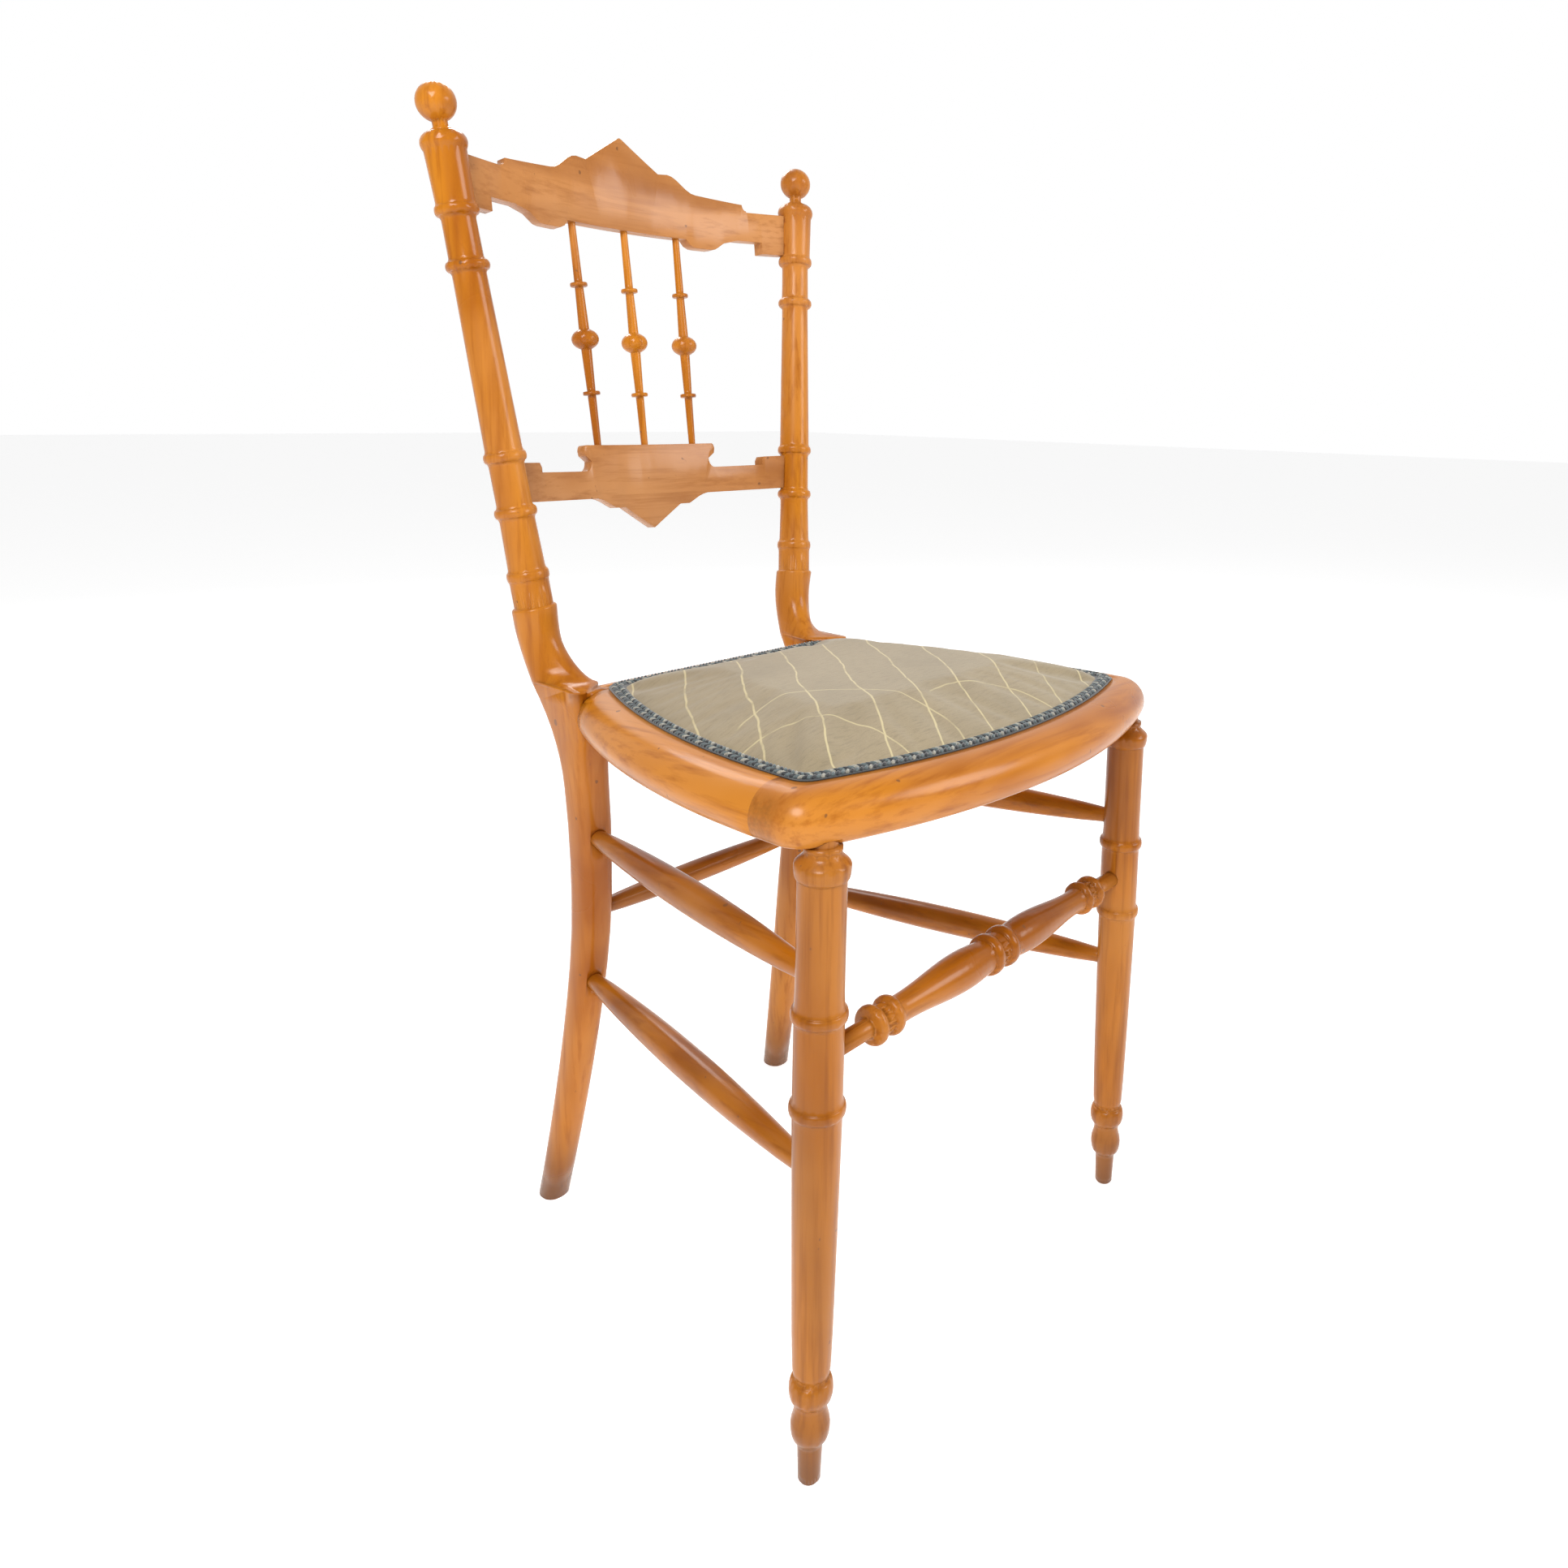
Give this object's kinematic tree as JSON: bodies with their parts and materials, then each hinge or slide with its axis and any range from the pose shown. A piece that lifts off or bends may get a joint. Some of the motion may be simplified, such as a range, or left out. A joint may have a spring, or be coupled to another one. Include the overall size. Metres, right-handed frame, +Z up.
{
  "type": "side chair",
  "caption": "Light turned-wood side chair: ringed posts with ball finials, fretted crest and lower back rail, thin spindles, turned stretchers and a stuffed seat edged with braid.",
  "frame": {"origin": "on the floor, in the middle of the box around the whole chair, which is on its plane of symmetry", "axes": "+Z up, +Y towards the back of the chair, -Y towards its front, +X towards the right-hand side seen from the front"},
  "size_m": [0.412, 0.4598, 0.8783],
  "materials": {
    "varnished_wood": "glossy honey varnish over light hardwood",
    "plain_wood": "bare, glued",
    "webbing": "coarse woven jute",
    "tack_steel": "dark blued steel",
    "hessian": "open woven jute cloth",
    "stuffing": "felted hair and fibre",
    "cover_cloth": "fine olive cloth with thin pale wavy lines",
    "gimp_braid": "braid of blue-grey, black and cream strands"
  },
  "bodies": {
    "root": {"rear_post_left": "varnished_wood", "rear_post_right": "varnished_wood", "crest_rail": "varnished_wood", "lower_back_rail": "varnished_wood", "back_spindle_left": "varnished_wood", "back_spindle_centre": "varnished_wood", "back_spindle_right": "varnished_wood", "front_leg_left": "varnished_wood", "front_leg_right": "varnished_wood", "seat_front_rail": "varnished_wood", "seat_left_rail": "varnished_wood", "seat_right_rail": "varnished_wood", "seat_back_rail": "varnished_wood", "front_stretcher": "varnished_wood", "back_stretcher": "varnished_wood", "upper_left_stretcher": "varnished_wood", "upper_right_stretcher": "varnished_wood", "lower_left_stretcher": "varnished_wood", "lower_right_stretcher": "varnished_wood", "seat_dowels": "plain_wood", "webbing_lengthwise": "webbing", "webbing_crosswise": "webbing", "webbing_tacks": "tack_steel", "seat_hessian": "hessian", "seat_stuffing": "stuffing", "seat_cover": "cover_cloth", "cover_tacks": "tack_steel", "gimp_trim": "gimp_braid"}
  },
  "joints": []
}
